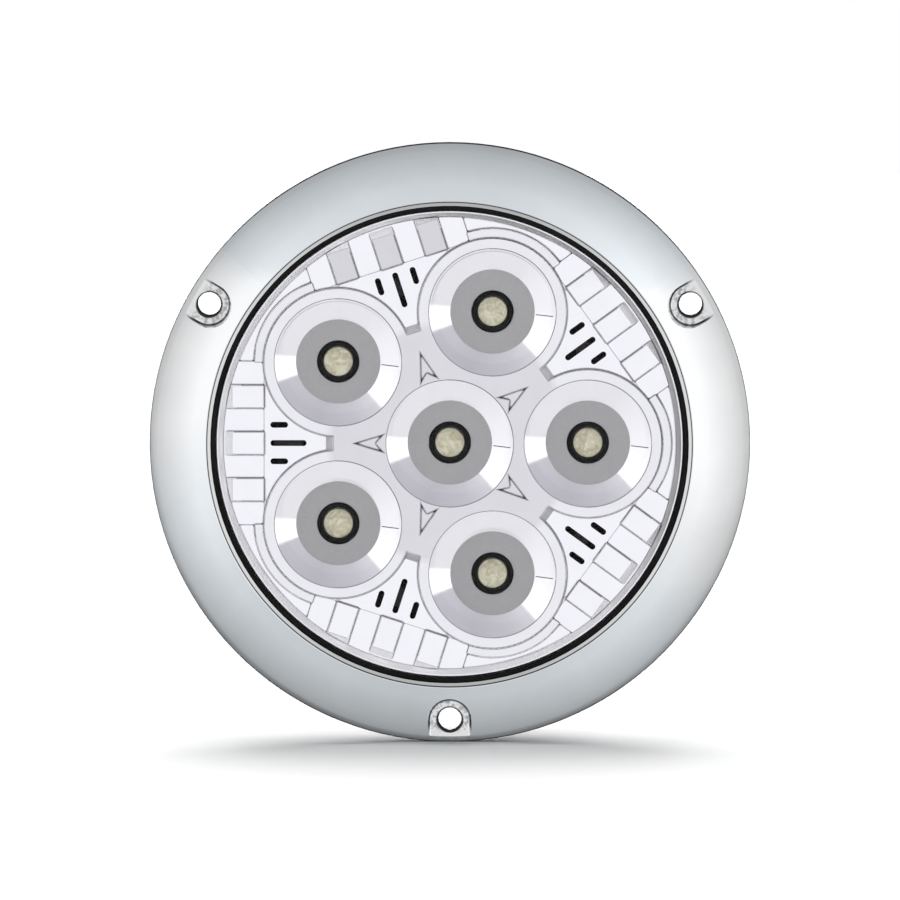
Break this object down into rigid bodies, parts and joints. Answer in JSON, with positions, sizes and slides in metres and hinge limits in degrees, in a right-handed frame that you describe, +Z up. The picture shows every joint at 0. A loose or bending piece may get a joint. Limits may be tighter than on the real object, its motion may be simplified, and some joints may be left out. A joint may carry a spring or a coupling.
{
  "type": "trailer tail light",
  "caption": "Round flange-mount trailer light: a chrome trim ring over a sealed clear lamp with bowl reflectors, and a plug-in lead at the back.",
  "frame": {"origin": "centre of the screw circle in the plane of the gasket's back face, which lies on the vehicle's panel", "axes": "-Y out of the lens towards the viewer, +Y into the vehicle, +Z up, so that one screw hole is at the bottom"},
  "size_m": [0.1396, 0.0435, 0.1396],
  "materials": {
    "bezel_chrome": "bright chrome plating over moulded plastic",
    "housing_black": "fine-grained black plastic",
    "gasket_foam": "closed-cell foam",
    "lens_clear": "clear polished plastic",
    "seal_black": "smooth sealant",
    "reflector_silver": "vacuum-metallised plastic",
    "board_black": "black solder mask",
    "pad_grey": "soft grey silicone",
    "spreader_aluminium": "rolled plate",
    "emitter_black": "moulded black plastic",
    "slug_copper": "plated copper",
    "phosphor_yellow": "yellow phosphor",
    "dome_clear": "clear silicone",
    "lead_tin": "tinned",
    "screw_zinc": "zinc plated",
    "chip_black": "moulded epoxy",
    "resistor_black": "glazed",
    "capacitor_body": "moulded",
    "pin_brass": "bright brass",
    "solder_tin": "solder",
    "plug_black": "moulded soft plastic",
    "wire_red": "wire insulation",
    "wire_white": "wire insulation",
    "wire_brown": "wire insulation",
    "core_copper": "bare copper",
    "sleeve_black": "shrunk tubing"
  },
  "bodies": {
    "lamp": {"housing": "housing_black", "mounting_gasket": "gasket_foam", "cover_lens": "lens_clear", "lens_seal": "seal_black", "reflector": "reflector_silver", "circuit_board": "board_black", "thermal_pad": "pad_grey", "heat_spreader": "spreader_aluminium", "emitter_bodies": "emitter_black", "emitter_slugs": "slug_copper", "emitter_phosphors": "phosphor_yellow", "emitter_domes": "dome_clear", "emitter_leads": "lead_tin", "board_screws": "screw_zinc", "driver_chips": "chip_black", "chip_pins": "lead_tin", "sense_resistors": "resistor_black", "filter_capacitors": "capacitor_body", "surge_suppressor": "chip_black", "polarity_diodes": "chip_black", "terminal_pins": "pin_brass", "solder_joints": "solder_tin"},
    "bezel": {"trim_bezel": "bezel_chrome"},
    "pigtail": {"plug_body": "plug_black", "socket_terminals": "pin_brass", "stop_lead": "wire_red", "ground_lead": "wire_white", "tail_lead": "wire_brown", "lead_cores": "core_copper", "lead_sleeve": "sleeve_black"}
  },
  "joints": [
    {"name": "bezel_lift", "type": "slide", "parent": "lamp", "child": "bezel", "axis": [0, -1, 0], "range_m": [0, 0.025]},
    {"name": "plug_pull", "type": "slide", "parent": "lamp", "child": "pigtail", "axis": [0, 1, 0], "range_m": [0, 0.025]}
  ]
}
